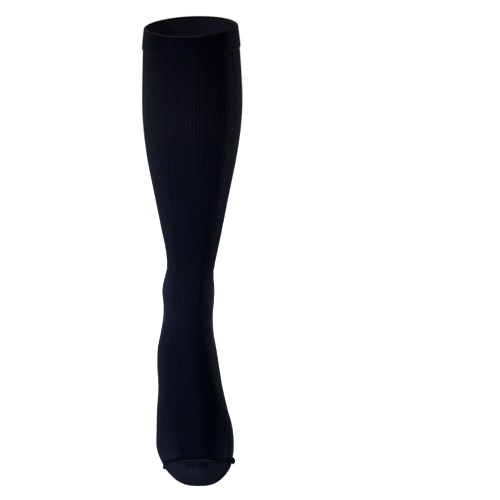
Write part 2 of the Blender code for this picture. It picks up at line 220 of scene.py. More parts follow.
# Gathers that run out from the toe seam, into the cap and a little way up the foot
# wale: the share of the wales; wide: its half width in wales; deep: millimetres
GATHER_UP, GATHER_ON = 4.5 * MM, 17.0 * MM  # how far they run up the foot, into the cap
BULGE_AT, BULGE_HIGH = 1.6, 0.45  # the cloth beside each, in its widths and depths
Gather = namedtuple("Gather", "wale wide deep")
GATHERS = (
    Gather(-0.235, 0.010, 0.55),
    Gather(-0.185, 0.013, 0.35),
    Gather(-0.120, 0.012, 0.30),
    Gather(-0.062, 0.011, 0.55),
    Gather(-0.020, 0.012, 0.60),
    Gather(0.030, 0.009, 0.65),
    Gather(0.072, 0.010, 0.50),
    Gather(0.125, 0.013, 0.35),
    Gather(0.178, 0.012, 0.40),
    Gather(0.222, 0.010, 0.60),
    Gather(0.330, 0.016, 0.20),
    Gather(0.500, 0.018, 0.18),
    Gather(0.640, 0.016, 0.20),
)

# Painted light and shade down the tube: the knit is painted lighter where the light falls on
# it over the ankle and the heel, and painted darker at the band and in the groove above the
# toe seam,
# as painted shade. flank: the share by which its flank away from the key light is painted
# darker, as painted shade; grey: how far it loses its blue; side: how much lighter both sides
# are painted, as painted edge light. The ramp holds 0 to 1, so light and side go in divided
# by TONE_RANGE
TONE_RANGE = 3.0
Tone = namedtuple("Tone", "section past light flank grey side")
PAINTED_SHADING = (
    Tone("rim", 0.0, 0.50, 0.30, 0.36, 0.80),
    Tone("rim", 0.8, 0.57, 0.28, 0.36, 0.80),
    Tone("rim", 0.90, 0.59, 0.28, 0.36, 0.80),
    Tone("rim", 0.945, 0.75, 0.28, 0.36, 0.80),
    Tone("welt_foot", 0.02, 0.84, 0.26, 0.45, 0.82),
    Tone("welt_foot", 0.05, 0.66, 0.26, 0.45, 0.82),
    Tone("calf", 0.0, 1.08, 0.10, 0.50, 0.88),
    Tone("under_calf", 0.0, 1.24, 0.00, 0.50, 0.95),
    Tone("taper_start", 0.0, 1.15, 0.00, 0.20, 1.10),
    Tone("taper", 0.0, 1.14, 0.00, 0.10, 1.30),
    Tone("low_taper", 0.0, 1.15, 0.00, 0.10, 1.50),
    Tone("narrowing", 0.0, 1.22, 0.00, 0.12, 1.50),
    Tone("ankle", 0.0, 1.46, 0.00, 0.15, 1.50),
    Tone("ankle_bone", 0.0, 1.70, 0.05, 0.18, 1.50),
    Tone("heel_top", 0.0, 1.70, 0.10, 0.18, 1.50),
    Tone("heel_base", 0.0, 1.56, 0.20, 0.15, 1.35),
    Tone("heel_front", 0.0, 1.36, 0.28, 0.10, 1.15),
    Tone("arch_start", 0.0, 1.18, 0.34, 0.05, 1.00),
    Tone("instep", 0.0, 1.08, 0.40, 0.02, 1.00),
    Tone("arch", 0.0, 0.98, 0.44, 0.00, 1.20),
    Tone("ball_start", 0.0, 0.88, 0.48, 0.00, 1.40),
    Tone("ball", 0.0, 0.78, 0.52, 0.00, 1.70),
    Tone("toe_base", 0.0, 0.84, 0.52, 0.00, 2.10),
    Tone("toe_base", 0.84, 0.90, 0.46, 0.05, 2.60),
    Tone("toe_base", 0.95, 0.55, 0.36, 0.05, 2.00),
    Tone("toe_seam", 0.0, 0.40, 0.30, 0.05, 1.00),
)
# Windows: each comes in from its first edge to its second, and goes out from its third to
# its fourth. Round the tube they are shares of the wales with the front middle at 0.5
FLANK = (0.50, 0.58, 0.61, 0.71)  # the flank painted darker, as painted shade
GREYER = (0.28, 0.42, 0.80, 0.92)  # where the knit loses its blue
TOE_SHADE = (0.395, 0.425, 0.565, 0.600)  # painted shade on the cap, where the seam draws it in
TOE_HIGHLIGHT = (0.405, 0.430, 0.485, 0.505)  # and a painted highlight on the front of the cap
SIDE = (0.08, 0.16, 0.29, 0.42)  # both sides, painted lighter as painted edge light, in shares from the front middle
SIDE_GREY = 0.16  # how far the painted edge light at the sides loses its blue
# The cap's two windows past the seam, and how dark the painted shade and how light the
# painted highlight are in them
TOE_SHADE_DOWN = (3.0 * MM, 6.0 * MM, 8.5 * MM, 14.0 * MM)
TOE_SHADE_DARK = 0.38
TOE_HIGHLIGHT_DOWN = (8.0 * MM, 13.0 * MM, 19.0 * MM, 25.0 * MM)
TOE_HIGHLIGHT_GAIN = 1.28
# A painted highlight on the seam's yarn over the middle toes, in a window of X
SEAM_LIT = (-0.016, -0.006, 0.018, 0.030)
SEAM_BRIGHTER = 2.3

# The band's lining: greyer and lighter than the knit, and painted lighter still in its window
# of shares of the wales with the front middle at 0, as painted light where the inside lies in
# shade
LINING = (0.0152, 0.0154, 0.0272)
LINING_PAINTED_LIGHT = (0.0660, 0.0660, 0.1100)
LINING_TURNS = (0.50, 0.665, 0.73, 0.90)
LINING_FROM, LINING_FULL = 1.1 * MM, 2.2 * MM  # how far inside the fold it comes in
LINING_RIDGED = (1.0, 0.75)
LINING_RANGE = 2.0

# A thin warm line painted at the fold: partly the band's covered elastic, and partly a
# painted highlight where the fold catches the light. A window of the same shares where it
# shows, and how many millimetres it reaches down the inner side
ELASTIC_AND_HIGHLIGHT_SHOWS = (
    (-0.01, 0.0, 0.035, 0.065, 0.75),
    (0.26, 0.28, 0.35, 0.38, 2.0),
    (0.56, 0.60, 0.62, 0.66, 0.75),
    (0.71, 0.74, 1.0, 1.01, 0.75),
)
# the fold line's colour, partly the elastic's own and partly a painted highlight
ELASTIC_AND_HIGHLIGHT = (0.092, 0.069, 0.052)
ELASTIC_OUT = 0.10 * MM  # how far it reaches down the outer side
ELASTIC_BLUR = 0.2  # of a stitch
ELASTIC_WORN, ELASTIC_DASHES = (1.2, 0.15), (0.8, 0.6)

# A stitch is a V of two yarns: how they slant, how round they are along and across, and
# where they lie in half a wale. Then a rib's crown: its wale's width and where it ends
STITCH_SLANT, YARN_ROUND, YARN_ACROSS = 1.1, 2.2, 2.0
YARN_AT, YARN_WIDE = 0.23, 0.27
CROWN_WIDE, CROWN_EDGES = 0.66, (0.56, 0.44)
PURL_HIGH = 0.5  # the stitches in the valleys

# Pairs of a factor and what is added: the height of stitches on plain knit and on crowns,
# the tone by height, as painted shade that darkens the valleys between yarns and ribs, then
# by wale, patch and fibre, and the roughness by fibre
PLAIN_STITCH, CROWN_STITCH = (0.6, 0.3), (0.6, 0.4)
HEIGHT_SHADE, WALE_TONE = (0.40, 0.72), (0.22, 0.89)
PATCH_TONE, FIBRE_TONE = (0.36, 0.82), (0.60, 0.70)
FIBRE_ROUGH = (0.12, 0.80)
FIBRE_HIGH = 0.35
PATCH_SCALE, FIBRE_SCALE, WORN_SCALE = 45.0, 2600.0, 70.0
TONE_LEAST = 0.25  # the tone that has the darkest colour
DARK, LIGHT, SEAM_DARK = 0.42, 1.45, 0.60  # of the yarn's own colour; on the knit they also span the painted shade in its valleys
LIT_RANGE = 5.0  # the most that the tones can lighten the knit
KNIT_BUMP, SEAM_BUMP = (0.75, 0.22 * MM), (0.6, 0.2 * MM)  # strength and depth
SEAM_ROUGH = 0.8
BLACK = (0.0, 0.0, 0.0)

# The yarn's own colours
WELT_YARN = (0.0052, 0.0068, 0.0178)
LEG_YARN = (0.0052, 0.0067, 0.0169)
FOOT_YARN = (0.0051, 0.0068, 0.0168)
TOE_YARN = (0.0330, 0.0412, 0.0895)
SEAM_YARN = (0.0080, 0.0102, 0.0200)

# The view of the photograph: a long lens from a little above the rim
CAMERA_PLACE = (0.0626, -2.5719, 0.256)
CAMERA_TILT = math.radians(79.0)
CAMERA_LENS = 173.3
SENSOR = 36.0

# The light: a soft key from the front left, a low one from behind on each side, a weak one
# overhead that reaches down into the leg, and a large one behind. Name, place, size in
# metres, watts
LAMPS = (
    ("key", (-1.75, -1.65, 1.2), 0.7, 36.0),
    ("edge", (1.6, 1.5, -0.34), 0.45, 40.0),
    ("left_edge", (-1.6, 1.45, -0.34), 0.45, 36.0),
    ("overhead", (0.6, -0.9, 2.0), 0.8, 6.0),
    ("back", (0.5, 2.6, 0.9), 1.2, 36.0),
)
ROOM_LIGHT = 0.05  # what the pale room itself gives the cloth
ROOM_SEEN = 1.0
FLOOR_SIZE, FLOOR_BELOW, FLOOR_GREY = 24.0, 0.10, 0.60


# ---------------------------------------------------------------- the form


def station(name):
    """A section's place in the table, which is how far down the tube it is."""
    return float([section.name for section in SECTIONS].index(name))


def spline(values, at):
    """A smooth curve through evenly numbered values (Catmull-Rom), read at one place."""
    last = len(values) - 1
    first = min(int(at), last - 1)
    share = at - first
    before = values[first - 1] if first else 2 * values[0] - values[1]
    after = values[first + 2] if first + 2 <= last else 2 * values[last] - values[last - 1]
    a, b = values[first], values[first + 1]
    slope_a, slope_b = (b - before) / 2, (after - a) / 2
    return (
        a * (1 + 2 * share) * (1 - share) ** 2
        + slope_a * share * (1 - share) ** 2
        + b * share**2 * (3 - 2 * share)
        - slope_b * share**2 * (1 - share)
    )


def section_at(at):
    """The section at any place down the tube, between the rows of the table."""
    columns = list(zip(*SECTIONS))[1:]
    return Section("between", *(spline(column, at) for column in columns))


def smooth_step(low, high, value):
    share = np.clip((value - low) / (high - low), 0.0, 1.0)
    return share * share * (3 - 2 * share)


def window(edges, value):
    """1 between the inner two of four edges, and 0 outside the outer two."""
    start, full, fading, end = edges
    return smooth_step(start, full, value) * (1 - smooth_step(fading, end, value))


def bell(value):
    return np.exp(-(value**2))


def from_front(wales):
    """How far round from the front middle each wale is, 0 to 0.5, whichever the side."""
    share = np.mod(wales, 1.0)
    return np.minimum(share, 1 - share)


def from_wale(middle, wales):
    """How far each wale is from a middle one, -0.5 to 0.5, the short way round."""
    return np.mod(wales - middle + 0.5, 1.0) - 0.5


class Outline:
    """One closed outline of the tube, read by the shares of the wales from the front."""

    def __init__(self, section, inset=0.0):
        front = np.array((section.shift, section.front_y, section.front_z)) * MM
        back = np.array((section.shift, section.back_y, section.back_z)) * MM
        depth = front - back
        self.centre = (front + back) / 2
        self.ahead = depth / np.linalg.norm(depth)
        self.half_depth = np.linalg.norm(depth) / 2 - inset
        self.half_width = section.width / 2 * MM - inset
        self.instep = section.instep
        angle = np.linspace(0, math.pi, DENSE + 1)
        power = 2 / section.square
        fuller = np.sin(angle) * (1 - section.egg * np.cos(angle))
        across = np.abs(np.sin(angle)) ** power * (1 - section.egg * np.cos(angle))
        self.across = self.half_width * across / fuller.max()
        turn = np.cos(angle)
        self.forward = self.half_depth * np.sign(turn) * np.abs(turn) ** power
        steps = np.hypot(np.diff(self.across), np.diff(self.forward))
        self.along = np.concatenate(([0.0], np.cumsum(steps)))
        out_x, out_y = -np.gradient(self.forward), np.gradient(self.across)
        size = np.hypot(out_x, out_y)
        self.out_x, self.out_y = out_x / size, out_y / size
        self.out_x[0] = self.out_x[-1] = 0.0

    def at(self, wales, proud=0.0):
        """The points at shares of the wales, moved out by proud."""
        share = from_front(wales)
        side = np.where(np.mod(wales, 1.0) > 0.5, -1.0, 1.0)
        front = share / 0.25 * self.instep
        back = self.instep + (share - 0.25) / 0.25 * (1 - self.instep)
        reach = np.where(share <= 0.25, front, back) * self.along[-1]
        across = np.interp(reach, self.along, self.across)
        forward = np.interp(reach, self.along, self.forward)
        out_x = np.interp(reach, self.along, self.out_x)
        out_y = np.interp(reach, self.along, self.out_y)
        size = np.hypot(out_x, out_y)
        across = side * (across + out_x / size * proud)
        forward = forward + out_y / size * proud
        sideways = np.array((1.0, 0.0, 0.0))
        return self.centre + across[:, None] * sideways + forward[:, None] * self.ahead


def sloped(points):
    """Tilts the top of the tube, fully at the rim and not at all past SLOPE_DEPTH."""
    share = smooth_step(-SLOPE_DEPTH, 0, points[:, 2])
    rise = points[:, 1] * RIM_SLOPE_FRONT + points[:, 0] * RIM_SLOPE_SIDE
    tilted = points.copy()
    tilted[:, 2] += rise * share
    return tilted


def lengths_down():
    """Stations and how far down the cloth each is, along the tube's front and back."""
    at = np.linspace(0, station(SEAM_AT), LENGTH_STEPS * len(SECTIONS))
    ends = [Outline(section_at(a)).at(np.array((0.0, 0.25, 0.5, 0.75))) for a in at]
    steps = np.linalg.norm(np.diff(np.array(ends), axis=0), axis=2).mean(axis=1)
    return at, np.concatenate(([0.0], np.cumsum(steps)))


STATIONS, DOWN = lengths_down()


def down_at(at):
    return np.interp(at, STATIONS, DOWN)


def station_at(down):
    return np.interp(down, DOWN, STATIONS)


# ---------------------------------------------------------------- the cloth's relief


def rib_wave(wales):
    """1 on the crown of each rib and 0 in the valleys, with broad crowns."""
    return ((1 + np.cos(2 * math.pi * RIBS * wales)) / 2) ** RIB_CROWN


def uneven(wales, down):
    """A slow, smooth unevenness round and down the tube, between about -1 and 1."""
    turn = 2 * math.pi * wales
    a = np.sin(3 * turn + down / (31 * MM) + SEED)
    b = np.sin(5 * turn - down / (17 * MM) + 2.3 * SEED)
    c = np.sin(2 * turn + down / (11 * MM) + 4.1 * SEED)
    return (a + 0.8 * b + 0.5 * c) / 1.6


def rib_share(at, wales):
    """How far the knit is ribbed: 1 on the leg, dying out over the instep to plain knit."""
    first, last = station(LEG_END), station(SEAM_AT)
    start, end = (first + share * (last - first) for share in RIBS_FADE)
    along = smooth_step(start, end, at)
    round_back = smooth_step(*FRONT, from_front(wales))
    below_ankle = smooth_step(first, first + RIBS_FADE_BEHIND, at)
    return (1 - along) * (1 - round_back * below_ankle)


def crease_depth(wales, down):
    """How far the hand-placed creases move the cloth out (in, where negative)."""
    moved = np.zeros_like(wales)
    for crease in CREASES:
        middle = down_at(station(crease.section) + crease.past)
        share = from_wale(crease.wale, wales) / crease.reach
        line = middle + (crease.slant * share + crease.bow * share**2) * MM
        across = (down - line) / (crease.wide * MM)
        fade = np.where(np.abs(share) < 1, np.cos(share * math.pi / 2) ** 2, 0.0)
        shoulders = bell(across - SHOULDER_AT) + bell(across + SHOULDER_AT)
        moved += crease.deep * MM * fade * (SHOULDER_HIGH * shoulders - bell(across))
    return moved


def gather_depth(wales, past_seam):
    """The gathers at the toe seam; past_seam is negative up the foot."""
    near = np.where(past_seam < 0, np.exp(past_seam / GATHER_UP), 1.0)
    near = near * np.where(past_seam > 0, bell(past_seam / GATHER_ON), 1.0)
    moved = np.zeros_like(wales)
    for gather in GATHERS:
        share = from_wale(gather.wale, wales) / gather.wide
        bulge = bell(np.abs(share) - BULGE_AT)
        moved += gather.deep * MM * (BULGE_HIGH * bulge - bell(share))
    return moved * near


def instep_crest(at, wales):
    """The soft ridge that the bones raise along the instep, between lower flanks."""
    rising = smooth_step(station("heel_base"), station("arch"), at)
    fading = smooth_step(station("ball"), station(SEAM_AT), at)
    off = from_wale(CREST_WALE, wales) / CREST_WIDE
    front = 1 - smooth_step(*FRONT, from_front(wales))
    return CREST_HIGH * rising * (1 - fading) * front * (bell(off) - CREST_SUNK)


def seam_top(wales):
    """1 over the toes, where the linked seam runs, and 0 under them."""
    return 1 - smooth_step(*SEAM_OVER, from_front(wales))


def foot_relief(at, wales, down):
    """Everything that lifts the tube's outer face at one station."""
    ribbed = rib_share(at, wales)
    wave = rib_wave(wales)
    phase = 2 * math.pi * RIBS * wales / 7 + 1.3 * np.sin(41 * wales)
    each = 1 + RIB_VARIES * np.sin(phase)
    height = (RIB_HEIGHT * each * ribbed + PLAIN_RIB * (1 - ribbed)) * wave
    past_seam = down - DOWN[-1]
    drawn_in = -FOOT_DRAWN * bell(past_seam / FOOT_DRAWN_OVER) * seam_top(wales)
    tuck = TUCK_DEEP * bell((past_seam + TUCK_ABOVE) / TUCK_WIDE)
    tuck = tuck * window(TUCK_SHOWS, from_wale(0.0, wales))
    soft = SOFT * uneven(wales, down)
    folds = crease_depth(wales, down) + gather_depth(wales, past_seam) + tuck
    return height + folds + drawn_in + soft + instep_crest(at, wales)


# ---------------------------------------------------------------- meshes


def put(name, data):
    made = bpy.data.objects.new(name, data)
    bpy.context.scene.collection.objects.link(made)
    return made


def columns(count):
    return np.arange(count) / count


def cloth(name, rings, wales, down, ribbed, closed=True, points=()):
    """A piece of cloth from rings of equal size, each with its place down the cloth.

    A closed one runs on from its last ring to its first. points are the first and last
    points that close an open one.
    """
    rings = np.asarray(rings)
    count, size = rings.shape[:2]
    mesh = bpy.data.meshes.new(name)
    vertices = rings.reshape(-1, 3)
    faces, courses, turns = [], [], []
    column = np.arange(size)
    beside = (column + 1) % size
    turn = np.append(wales, 1.0)
    sides = np.stack((turn[:-1], turn[:-1], turn[1:], turn[1:]), 1)
    for i in range(count if closed else count - 1):
        here, onward = i * size, (i + 1) % count * size
        corners = (here + column, onward + column, onward + beside, here + beside)
        faces.append(np.stack(corners, 1))
        turns.append(sides)
        low, high = down[i], down[min(i + 1, count - 1)]
        courses.append(np.tile((low, high, high, low), (size, 1)))
    faces = np.concatenate(faces)
    turns, courses = np.concatenate(turns).ravel(), np.concatenate(courses).ravel()
    polygons = faces.tolist()
    vertices = vertices.tolist()
    if len(points):
        for ring, tip, flip in ((0, points[0], False), (count - 1, points[1], True)):
            vertices.append(list(tip))
            end = len(vertices) - 1
            for k in range(size):
                a, b = ring * size + k, ring * size + (k + 1) % size
                polygons.append([b, a, end] if flip else [a, b, end])
                low = down[0] if ring == 0 else down[-1]
                turns = np.append(turns, (turn[k], turn[k + 1], (turn[k] + turn[k + 1]) / 2))
                courses = np.append(courses, (low, low, low))
    mesh.from_pydata(vertices, [], polygons)
    knit = mesh.uv_layers.new(name="knit")
    places = np.stack((turns * RIBS, courses / STITCH), 1)
    knit.data.foreach_set("uv", places.astype(np.float32).ravel())
    share = mesh.attributes.new("ribbed", "FLOAT", "POINT")
    values = np.zeros(len(vertices), np.float32)
    values[: count * size] = np.asarray(ribbed).reshape(-1)
    share.data.foreach_set("value", values)
    mesh.shade_smooth()
    mesh.set_sharp_from_angle(angle=SHARP)
    return put(name, mesh)


# ---------------------------------------------------------------- the pieces


def make_welt():
    """The turned band: doubled cloth with a rounded fold at the rim."""
    fold = WELT_WALL / 2
    wales = columns(ROUND)
    wave = rib_wave(wales)
    profile = []  # depth below the rim, share of the thickness, and how far it is ribbed
    for i in range(LINING_RINGS + 1):
        depth = WELT_HEIGHT - (WELT_HEIGHT - fold) * i / LINING_RINGS
        profile.append((depth, 0.0, LINING_RIBBED))
    for i in range(1, FOLD_RINGS):
        turn = math.pi * i / FOLD_RINGS
        ribbed = LINING_RIBBED + (1 - LINING_RIBBED) * i / FOLD_RINGS
        profile.append((fold * (1 - math.sin(turn)), (1 - math.cos(turn)) / 2, ribbed))
    for i in range(WELT_RINGS + 1):
        profile.append((fold + (WELT_HEIGHT - HEM_START - fold) * i / WELT_RINGS, 1.0, 1.0))
    for above, share, ribbed in HEM:
        profile.append((WELT_HEIGHT - above * MM, share, ribbed))
    rings, down = [], []
    for depth, share, ribbed in profile:
        part = depth / WELT_HEIGHT
        outline = Outline(section_at(station(WELT_END) * part))
        thickness = WELT_WALL + WELT_STEP * part
        outward = 2 * share - 1
        relief = RIB_HEIGHT * WELT_RIB * wave * ribbed * max(outward, 0.0)
        relief = relief - LINING_RIB * (1 - wave) * ribbed * min(outward, 0.0)
        soft = WELT_SOFT * uneven(wales, depth)
        soft = soft + WELT_SWELL * math.sin(math.pi * part) * share
        points = outline.at(wales, thickness * share - WALL + relief + soft)
        points[:, 2] += -depth - outline.centre[2]
        rings.append(sloped(points))
        down.append(depth if share > 0.5 else -depth)
    return cloth("welt_cloth", rings, wales, down, np.ones((len(rings), ROUND)))


def tube_rings(first, last):
    """Rings of the tube's cloth between two places: outer face down, inner face up."""
    wales = columns(ROUND)
    wave = rib_wave(wales)
    rings, down, ribbed = [], [], []
    for place in np.linspace(first, last, TUBE_RINGS):
        at = station_at(place)
        relief = foot_relief(at, wales, place)
        if at < station("calf"):
            relief = relief - LEG_DRAWN * bell((place - first) / LEG_DRAWN_OVER)
        rings.append(sloped(Outline(section_at(at)).at(wales, relief)))
        down.append(place)
        ribbed.append(rib_share(at, wales))
    for place in np.linspace(last, first, INNER_RINGS):
        at = station_at(place)
        share = rib_share(at, wales)
        soft = crease_depth(wales, place) + SOFT * uneven(wales, place)
        soft = soft + instep_crest(at, wales)
        relief = soft - WALL + INNER_RIB * wave * share
        rings.append(sloped(Outline(section_at(at)).at(wales, relief)))
        down.append(place)
        ribbed.append(share)
    return rings, wales, down, ribbed


def make_leg():
    """The ribbed tube, its top edge tucked under the band."""
    first, last = down_at(station(WELT_END) - 0.04), down_at(station(LEG_END))
    return cloth("leg_cloth", *tube_rings(first, last))


def make_foot():
    """Heel, instep and sole, knitted on from the leg."""
    first, last = down_at(station(LEG_END)), down_at(station(SEAM_AT))
    return cloth("foot_cloth", *tube_rings(first, last))


def toe_ring(turn, inner, wales):
    """One ring of the toe's dome: turn is 0 at the seam and a right angle at the tip."""
    size = math.cos(turn)
    ahead = 1 - size**TOE_BLUNTNESS
    past_seam = TOE_LENGTH * ahead * TOE_CLOTH
    drawn_in = -TOE_DRAWN * seam_top(wales) * bell(past_seam / TOE_DRAWN_OVER)
    relief = drawn_in + gather_depth(wales, past_seam)
    relief = relief + SOFT * uneven(wales, DOWN[-1] + past_seam)
    relief = relief + PLAIN_RIB * rib_wave(wales)
    inset = WALL if inner else 0.0
    outline = Outline(SECTIONS[-1], inset)
    sideways = np.array((1.0, 0.0, 0.0))
    onward = np.cross(sideways, outline.ahead)
    bent = (sideways * TOE_LEAN - outline.ahead * TOE_DROOP) * ahead
    centre = outline.centre + onward * (TOE_LENGTH - inset) * ahead + bent
    points = centre + (outline.at(wales, relief) - outline.centre) * size
    return points, DOWN[-1] + past_seam


def make_toe_cap():
    """The plain knitted cap, gathered a little where the seam draws it in."""
    wales = columns(TOE_ROUND)
    rings, down, tips = [], [], []
    quarter = math.pi / 2
    count = TOE_INNER_RINGS
    turns = [(quarter * (1 - (i + 1) / count), True) for i in range(count)]
    turns += [(quarter * i / TOE_RINGS, False) for i in range(TOE_RINGS)]
    for turn, inner in turns:
        points, place = toe_ring(turn, inner, wales)
        rings.append(points)
        down.append(place)
    for inner in (True, False):
        points, _ = toe_ring(quarter, inner, wales)
        tips.append(points.mean(axis=0))
    plain = np.zeros((len(rings), TOE_ROUND))
    return cloth("toe_cloth", rings, wales, down, plain, closed=False, points=tips)


def seam_swing(wales):
    """How far down the tube the seam's line swings here, in steps of the table."""
    past = np.clip(np.abs(wales) - SEAM_BEND, 0.0, None)
    rise = SEAM_RISE * (past / (SEAM_END - SEAM_BEND)) ** 2
    drop = SEAM_DROP * (past / (-SEAM_START - SEAM_BEND)) ** 2
    return np.where(wales > 0, -rise, drop)


def make_toe_seam():
    """The linked ridge over the toes, a row of loops with a puckered ear at each end."""
    share = np.linspace(0, 1, SEAM_STEPS + 1)
    wales = SEAM_START + (SEAM_END - SEAM_START) * share
    ear = smooth_step(*EARS_GROW, np.abs(2 * share - 1))
    ends = np.where(share > 0.5, EAR_RADII[1], EAR_RADII[0])
    thin = 1 - SEAM_THINS * smooth_step(*SEAM_THINS_AT, np.abs(wales - SEAM_MIDDLE))
    radius = SEAM_RADIUS * thin + (ends - SEAM_RADIUS * thin) * ear
    tall = 1 + (np.where(share > 0.5, EAR_TALL[1], EAR_TALL[0]) - 1) * ear
    wander = sum(far * np.sin(wales * often + phase) for far, often, phase in SEAM_WANDERS)
    wander = wander + SEAM_LOWER * (1 - smooth_step(*SEAM_LOWER_TO, np.abs(wales)))
    swings = seam_swing(wales)
    hug = SEAM_HUG * np.maximum(0.0, swings / SEAM_DROP)
    proud = SEAM_GAP + radius * (SEAM_PROUD + (1 - SEAM_PROUD) * ear) - hug
    middle, centres = [], []
    for wale, swing, out, off in zip(wales, swings, proud, wander):
        outline = Outline(section_at(station(SEAM_AT) + swing))
        onward = np.cross((1.0, 0.0, 0.0), outline.ahead)
        middle.append(outline.at(np.array([wale]), out)[0] + off * onward)
        centres.append(outline.centre)
    middle, centres = np.array(middle), np.array(centres)
    steps = np.linalg.norm(np.diff(middle, axis=0), axis=1)
    length = np.concatenate(([0.0], np.cumsum(steps)))
    run = np.gradient(middle, axis=0)
    run = run / np.linalg.norm(run, axis=1)[:, None]
    side = np.cross(run, middle - centres)
    side = side / np.linalg.norm(side, axis=1)[:, None]
    up = np.cross(side, run)
    turn = 2 * math.pi * np.arange(SEAM_SIDES) / SEAM_SIDES
    loop = 2 * math.pi * length / SEAM_LOOP
    rings = []
    for i in range(SEAM_STEPS + 1):
        twist = LOOP_TWIST * np.cos(loop[i] + 2 * turn)
        twist = twist + LOOP_RIPPLE * np.cos(2 * loop[i] - turn)
        lumps = EAR_LUMPS * ear[i] * np.cos(3 * turn + EAR_LUMP_TURNS * length[i] / MM)
        to_end = min(length[i], length[-1] - length[i])
        end = min(1.0, to_end / (TIP_LENGTH * radius[i]))
        rounded = TIP_LEAST + (1 - TIP_LEAST) * math.sqrt(1 - (1 - end) ** 2)
        size = radius[i] * (1 + twist * (1 - ear[i]) + lumps) * rounded
        ring = np.cos(turn)[:, None] * tall[i] * side[i] + np.sin(turn)[:, None] * up[i]
        rings.append(middle[i] + ring * size[:, None])
    tips = (middle[0], middle[-1])
    plain = np.zeros((SEAM_STEPS + 1, SEAM_SIDES))
    around = columns(SEAM_SIDES)
    return cloth("toe_seam_yarn", rings, around, length, plain, closed=False, points=tips)


# ---------------------------------------------------------------- materials


